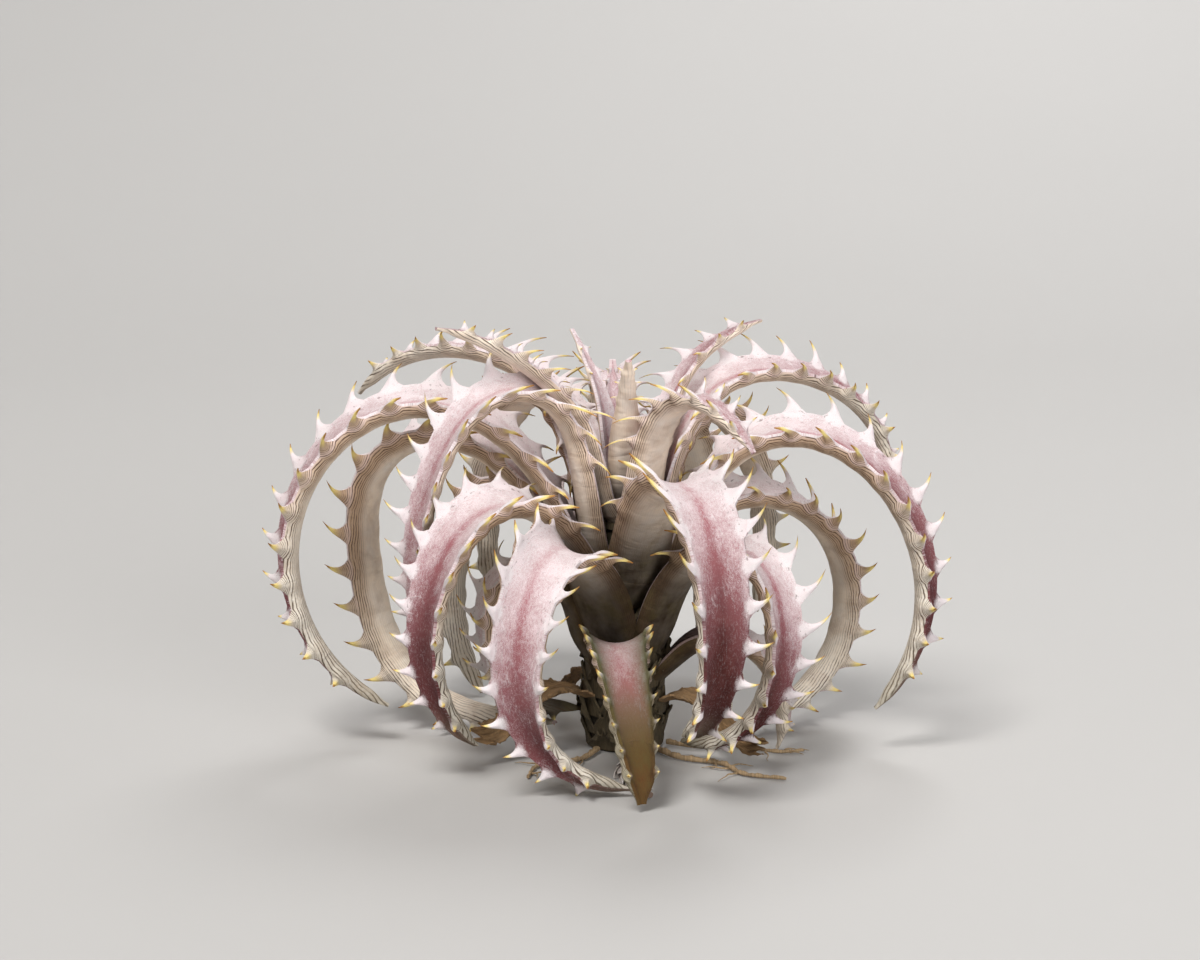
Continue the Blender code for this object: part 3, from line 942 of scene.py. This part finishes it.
class Finish:
    """A material under construction: adds nodes to its tree and joins them up."""

    def __init__(self, name, roughness, gloss=None):
        self.material = bpy.data.materials.new(name)
        self.material.use_nodes = True
        self.tree = self.material.node_tree
        self.shader = self.tree.nodes["Principled BSDF"]
        self.shader.inputs["Roughness"].default_value = roughness
        for socket, value in (gloss or {}).items():
            self.shader.inputs[socket].default_value = value

    def node(self, kind, out, inputs=None, **settings):
        made = self.tree.nodes.new("ShaderNode" + kind)
        for name, value in settings.items():
            setattr(made, name, value)
        for name, value in (inputs or {}).items():
            if isinstance(value, bpy.types.NodeSocket):
                self.tree.links.new(value, made.inputs[name])
            else:
                made.inputs[name].default_value = value
        return made.outputs[out]

    def field(self, name):
        return self.node("Attribute", "Fac", attribute_name=name)

    def grain(self, across, along):
        """The piece's own map, stretched to so many units a centimetre each way."""
        uv = self.node("UVMap", "UV", uv_map=MAP)
        return self.node("Mapping", "Vector", {"Vector": uv, "Scale": (across, along, 1.0)})

    def here(self):
        return self.node("TexCoord", "Object")

    def noise(self, vector, scale, detail=4.0, roughness=0.6, distortion=0.0):
        inputs = {"Vector": vector, "Scale": scale, "Detail": detail, "Roughness": roughness}
        return self.node("TexNoise", "Fac", {**inputs, "Distortion": distortion})

    def grained(self, across, along, scale, *character):
        return self.noise(self.grain(across, along), scale, *character)

    def math(self, operation, first, second=0.0, third=0.0):
        return self.node("Math", 0, {0: first, 1: second, 2: third}, operation=operation)

    def plus(self, first, second):
        return self.math("ADD", first, second)

    def times(self, first, second):
        return self.math("MULTIPLY", first, second)

    def line(self, value, slope, start):
        """start where the value is 0, and slope more for each 1 of it."""
        return self.math("MULTIPLY_ADD", value, slope, start)

    def swing(self, noise, gain):
        """The noise as a swing to both sides of 0."""
        return self.times(self.math("SUBTRACT", noise, 0.5), gain)

    def span(self, value, low, high, start=0.0, end=1.0):
        inputs = {"Value": value, "From Min": low, "From Max": high, "To Min": start, "To Max": end}
        return self.node("MapRange", "Result", inputs)

    def mix(self, share_of_second, first, second):
        """Both colours are sockets or plain (r, g, b)."""
        inputs = {0: share_of_second}
        for index, value in ((6, first), (7, second)):
            inputs[index] = value if isinstance(value, bpy.types.NodeSocket) else (*value, 1.0)
        return self.node("Mix", 2, inputs, data_type="RGBA")

    def mix_by(self, name, strength, first, second):
        """Mixes in the second colour where the piece's own field of that name says."""
        return self.mix(self.times(self.field(name), strength), first, second)

    def bump(self, height, distance, strength=1.0, over=None):
        inputs = {"Height": height, "Distance": distance, "Strength": strength}
        if over is not None:
            inputs["Normal"] = over
        return self.node("Bump", "Normal", inputs)

    def done(self, colour_socket, normal):
        self.tree.links.new(colour_socket, self.shader.inputs["Base Color"])
        self.tree.links.new(normal, self.shader.inputs["Normal"])
        return self.material


def horn_over(finish, base, sizes):
    """The yellow needle and amber point of each tooth, over whatever its foot has."""
    horn = finish.field("horn")
    yellow = finish.mix(finish.span(horn, 0.05, 0.6), base, sizes.horn)
    return finish.mix(finish.span(horn, 0.78, 1.0), yellow, sizes.point)


def felt_finish(sizes):
    """Upper face: rose to burgundy skin under white felt that thins into rows of flecks."""
    gloss = {"Specular IOR Level": 0.15, "Sheen Weight": 0.03, "Sheen Roughness": 0.6}
    made = Finish("leaf_felt_upper", 0.85, gloss)
    skin = made.mix(made.field("blush"), sizes.rose, sizes.burgundy)
    blotch = made.grained(1.0, 0.6, 2.2, 3.0)
    skin = made.mix(made.span(blotch, 0.38, 0.72, 0.0, 0.25), skin, BLOTCH)
    fleck = made.grained(32.0, 12.0, 1.0, 5.0, 0.75, 0.3)
    fine = made.grained(90.0, 55.0, 1.0, 3.0, 0.7)
    cloud = made.grained(2.6, 1.6, 1.4, 4.0, 0.65)
    streaked = made.plus(made.field("frost"), made.times(made.field("streak"), -0.48))
    cover = made.plus(streaked, made.swing(cloud, 1.1))
    cover = made.plus(cover, made.plus(made.swing(fleck, 1.5), made.swing(fine, 1.6)))

    # Thin curved marks where a neighbour's teeth were pressed in.
    wander = made.grained(1.0, 0.55, 0.9, 1.5, 0.4, 0.8)
    ring = made.math("PINGPONG", made.times(wander, 7.0), 0.5)
    press = made.times(made.span(ring, 0.0, 0.06, 1.0, 0.0), made.span(cloud, 0.45, 0.6))
    cover = made.plus(cover, made.times(press, 0.35))

    # A few flecks of felt stay on the barest skin.
    sparse = made.times(made.span(made.plus(fleck, made.times(fine, 0.4)), 0.72, 0.95), 0.34)
    sparse = made.times(sparse, made.line(made.field("blush"), -0.45, 1.0))
    cover = made.span(made.math("MAXIMUM", cover, sparse), 0.0, 1.0)
    felt = made.mix(made.span(cloud, 0.35, 0.7), sizes.felt, WARM_FELT)
    felt = made.mix(made.span(fine, 0.40, 0.62, 0.32, 0.0), felt, WORN_FELT)
    face = made.mix(cover, skin, felt)

    grime = made.span(made.grained(15.0, 8.0, 1.0, 3.0, 0.6), 0.60, 0.70)
    face = made.mix(made.times(grime, made.line(made.field("rim"), 0.55, 0.08)), face, GRIME)
    face = made.mix_by("olive", 0.95, face, sizes.olive)
    end = made.mix(made.field("olive"), DRY_END, OLIVE_END)
    face = made.mix_by("dry", made.span(cloud, 0.35, 0.62, 0.5, 0.85), face, end)
    # Painted shade darkens the face in the heart and near the root.
    face = horn_over(made, made.mix_by("shade", 0.85, face, UPPER_SHADE), sizes)
    relief = made.plus(made.times(cover, 0.6), made.times(fleck, 0.8))
    normal = made.bump(relief, 0.00016, 0.9)
    return made.done(face, made.bump(press, 0.00012, 0.6, normal))


def underside_finish(sizes):
    """Underside: pale felt, with fine dark lines lengthwise below the margins and all over the tail."""
    made = Finish("leaf_felt_under", 0.85, {"Specular IOR Level": 0.08})
    sway = made.grained(1.5, 0.7, 2.0, 3.0, 0.55)
    across = made.node("SeparateXYZ", "X", {"Vector": made.grain(1.0, 1.0)})
    ribs = made.math("SINE", made.times(made.line(sway, 0.07, across), RIB_WAVES))
    fibre = made.grained(42.0, 2.4, 1.0, 4.0, 0.65, 0.2)
    rib = made.times(made.span(ribs, 0.15, 0.8), made.span(fibre, 0.36, 0.52))
    rib = made.times(rib, made.line(made.field("ribbed"), 0.86, 0.05))
    cloud = made.grained(2.0, 1.0, 1.5, 3.0)
    stain = made.grained(1.1, 0.7, 2.0, 5.0, 0.65, 0.5)
    speck = made.grained(60.0, 14.0, 1.0, 4.0, 0.7)
    pale = made.mix(made.span(cloud, 0.35, 0.7), sizes.under, WARM_UNDER)
    pale = made.mix_by("flank", 0.9, pale, sizes.tan)
    pale = made.mix_by("tail", 0.75, pale, sizes.tail)
    pale = made.mix(made.span(stain, 0.46, 0.72, 0.0, 0.45), pale, UNDER_STAIN)
    pale = made.mix_by("olive", 0.6, pale, sizes.olive)
    frost = made.times(made.span(speck, 0.46, 0.66), made.line(made.field("tail"), 0.5, 0.1))
    face = made.mix(frost, pale, UNDER_FROST)
    # Painted shade: the undersides turn almost black-brown in the heart and near the root.
    dark = made.mix(made.span(stain, 0.45, 0.65), BROWN_SHADE, OLIVE_SHADE)
    face = made.mix_by("shade", made.span(cloud, 0.3, 0.7, 0.98, 0.86), face, dark)
    face = made.mix(made.span(made.field("lip"), 0.5, 1.0, 0.0, 0.65), face, LIP)
    face = made.mix(rib, face, sizes.vein)
    face = horn_over(made, made.mix_by("dry", 0.45, face, UNDER_DRY), sizes)
    crease = made.grained(0.8, 2.6, 1.6, 2.0, 0.5, 0.4)
    normal = made.bump(made.math("SUBTRACT", speck, rib), 0.00010, 0.7)
    return made.done(face, made.bump(crease, 0.0009, 0.5, normal))


def dry_finish(name, base):
    """Papery dry tissue: fibrous streaks, blotches and fine pale flecks."""
    made = Finish(name, 0.8)
    streak = made.grained(28.0, 2.2, 1.0, 5.0, 0.7, 0.3)
    blotch = made.grained(2.0, 2.0, 2.0, 4.0)
    fine = made.grained(70.0, 9.0, 1.0, 4.0, 0.75)
    face = made.mix(made.span(streak, 0.3, 0.7), tinted(base, 0.45), tinted(base, 1.3))
    face = made.mix(made.span(blotch, 0.5, 0.75, 0.0, 0.7), face, tinted(base, 0.4))
    face = made.mix(made.span(fine, 0.56, 0.72, 0.0, 0.5), face, tinted(base, 2.0))
    return made.done(face, made.bump(streak, 0.00032, 0.9, made.bump(fine, 0.00010, 0.8)))


def bark_finish(base):
    """Dark, rough rind with a little moss."""
    made = Finish("stem_bark", 0.9)
    rough = made.noise(made.here(), 380.0, 6.0, 0.7)
    moss = made.noise(made.here(), 90.0, 4.0)
    face = made.mix(made.span(rough, 0.3, 0.7), tinted(base, 0.4), tinted(base, 1.9))
    face = made.mix(made.span(moss, 0.5, 0.7, 0.0, 0.7), face, MOSS)
    return made.done(face, made.bump(rough, 0.0005, 0.9))


def stalk_finish(base):
    """Silvery, streaked bracts, paler at their points, over a brown rind."""
    made = Finish("stalk_scales", 0.75, {"Sheen Weight": 0.2})
    streak = made.grained(40.0, 6.0, 1.0, 4.0, 0.7)
    face = made.mix(made.span(streak, 0.3, 0.7), tinted(base, 0.55), tinted(base, 1.25))
    face = made.mix(made.span(made.field("scale"), 0.6, 1.0, 0.0, 0.6), face, BRACT_POINT)
    face = made.mix(made.span(made.field("scale"), 0.0, 0.15, 1.0, 0.0), face, STALK_RIND)
    return made.done(face, made.bump(streak, 0.0001, 0.8))


def floor_finish(base):
    made = Finish("floor", 0.6)
    tooth = made.noise(made.here(), 900.0, 4.0)
    broad = made.noise(made.here(), 3.0, 2.0)
    face = made.mix(made.span(broad, 0.3, 0.7), tinted(base, 0.985), base)
    return made.done(face, made.bump(tooth, 0.00005, 0.3))


# ---------- stage

CAMERA_TARGET = Vector((-0.005, 0.0, 0.0544))
SENSOR_WIDTH = 36.0
FLOOR_SIZE = 12.0
WALL_AT = 1.8
SWEEP_RADIUS = 1.2
SWEEP_STEPS = 24
SKY_STRENGTH = 0.16
WHITE = (1.0, 1.0, 1.0, 1.0)

# Name, place, size, power and tint of each soft light.
SOFTBOXES = (
    ("key_light", (-0.75, -1.30, 2.30), 1.1, 70.0, (1.0, 0.985, 0.96)),
    ("fill_light", (1.30, -2.20, 0.75), 1.6, 40.0, (0.97, 0.985, 1.0)),
    ("back_light", (0.45, 1.30, 1.50), 1.0, 16.0, (1.0, 1.0, 1.0)),
)


def make_floor(material):
    """A pale floor that sweeps up into a wall behind the plant."""
    deselect()
    bpy.ops.mesh.primitive_plane_add(size=FLOOR_SIZE, location=(0, WALL_AT - FLOOR_SIZE / 2, 0))
    bpy.ops.object.transform_apply(location=True)
    floor = named(bpy.context.object, "floor")
    mesh = floor.data
    behind = [all(mesh.vertices[i].co.y > WALL_AT / 2 for i in edge.vertices) for edge in mesh.edges]
    edit_edges(mesh, behind)
    bpy.ops.mesh.extrude_edges_move(TRANSFORM_OT_translate={"value": (0, 0, 2 * WALL_AT)})
    turn_faces(inside=True)
    finish_with(floor, "BEVEL", width=SWEEP_RADIUS, segments=SWEEP_STEPS)
    bpy.ops.object.shade_smooth_by_angle(angle=CREASE)
    floor.data.materials.append(material)


def aim(direction):
    """The turn that points a lamp or a camera along the direction."""
    return direction.to_track_quat("-Z", "Y").to_euler()


def add_softbox(name, place_at, size, power, tint):
    deselect()
    bpy.ops.object.light_add(type="AREA", location=place_at)
    lamp = bpy.context.object
    lamp.name = name
    lamp.data.shape = "DISK"
    lamp.data.size = size
    lamp.data.energy = power
    lamp.data.color = tint
    lamp.rotation_euler = aim(CAMERA_TARGET - Vector(place_at))


def add_camera(settings):
    deselect()
    back = Vector((0.0, -math.cos(settings.elevation), math.sin(settings.elevation)))
    bpy.ops.object.camera_add(location=CAMERA_TARGET + back * settings.distance)
    camera = bpy.context.object
    camera.rotation_euler = aim(-back)
    camera.data.lens = settings.lens
    camera.data.sensor_width = SENSOR_WIDTH
    camera.data.clip_start = 0.01
    bpy.context.scene.camera = camera


# ---------- operators


class DYCKIA_OT_leaves(bpy.types.Operator):
    """Make the felted, hook-toothed leaves of the rosette"""

    bl_idname = "dyckia.make_leaves"
    bl_label = "Leaves"

    def execute(self, context):
        sizes = context.scene.dyckia_leaf
        materials = (felt_finish(sizes), underside_finish(sizes))
        for index, leaf in enumerate(LEAVES):
            make_leaf(index, leaf, sizes, materials)
        return {"FINISHED"}


class DYCKIA_OT_stem(bpy.types.Operator):
    """Make the stem and the dry bases of the leaves that have dropped"""

    bl_idname = "dyckia.make_stem"
    bl_label = "Stem"

    def execute(self, context):
        sizes = context.scene.dyckia_base
        make_stem(bark_finish(sizes.bark), dry_finish("old_leaf_base", sizes.old_base))
        return {"FINISHED"}


class DYCKIA_OT_withered(bpy.types.Operator):
    """Make the withered leaves at the foot of the stem"""

    bl_idname = "dyckia.make_withered"
    bl_label = "Withered leaves"

    def execute(self, context):
        material = dry_finish("withered_leaf", context.scene.dyckia_base.straw)
        for index, strip in enumerate(STRIPS):
            make_strip(index, strip, material)
        return {"FINISHED"}


class DYCKIA_OT_roots(bpy.types.Operator):
    """Make the wiry roots and the old flower stalk along the ground"""

    bl_idname = "dyckia.make_roots"
    bl_label = "Roots and stalk"

    def execute(self, context):
        sizes = context.scene.dyckia_base
        fibre = dry_finish("root_fibre", sizes.fibre)
        for root in ROOTS:
            make_root(root, fibre)
        make_stalk(stalk_finish(sizes.stalk))
        return {"FINISHED"}


class DYCKIA_OT_stage(bpy.types.Operator):
    """Set the floor, the soft lights and the camera"""

    bl_idname = "dyckia.make_stage"
    bl_label = "Stage"

    def execute(self, context):
        settings = context.scene.dyckia_stage
        make_floor(floor_finish(settings.floor))
        for softbox in SOFTBOXES:
            add_softbox(*softbox)
        world = bpy.data.worlds.new("studio")
        world.use_nodes = True
        sky = world.node_tree.nodes["Background"]
        sky.inputs["Color"].default_value = WHITE
        sky.inputs["Strength"].default_value = SKY_STRENGTH
        context.scene.world = world
        context.scene.view_settings.view_transform = "Standard"
        add_camera(settings)
        return {"FINISHED"}


OPERATORS = (DYCKIA_OT_leaves, DYCKIA_OT_stem, DYCKIA_OT_withered, DYCKIA_OT_roots, DYCKIA_OT_stage)


class DYCKIA_PT_panel(bpy.types.Panel):
    """Lists the pieces of the plant"""

    bl_idname = "DYCKIA_PT_panel"
    bl_label = "Dyckia"
    bl_space_type = "VIEW_3D"
    bl_region_type = "UI"
    bl_category = "Dyckia"

    def draw(self, context):
        for operator in OPERATORS:
            self.layout.operator(operator.bl_idname)


SETTINGS = {
    "dyckia_leaf": DyckiaLeafSettings,
    "dyckia_base": DyckiaBaseSettings,
    "dyckia_stage": DyckiaStageSettings,
}
CLASSES = (*SETTINGS.values(), *OPERATORS, DYCKIA_PT_panel)


def register():
    for item in CLASSES:
        bpy.utils.register_class(item)
    for name, group in SETTINGS.items():
        setattr(bpy.types.Scene, name, bpy.props.PointerProperty(type=group))


def unregister():
    for name in SETTINGS:
        delattr(bpy.types.Scene, name)
    for item in reversed(CLASSES):
        bpy.utils.unregister_class(item)


def main():
    register()
    bpy.ops.dyckia.make_leaves()
    bpy.ops.dyckia.make_stem()
    bpy.ops.dyckia.make_withered()
    bpy.ops.dyckia.make_roots()
    bpy.ops.dyckia.make_stage()


if __name__ == "__main__":
    main()
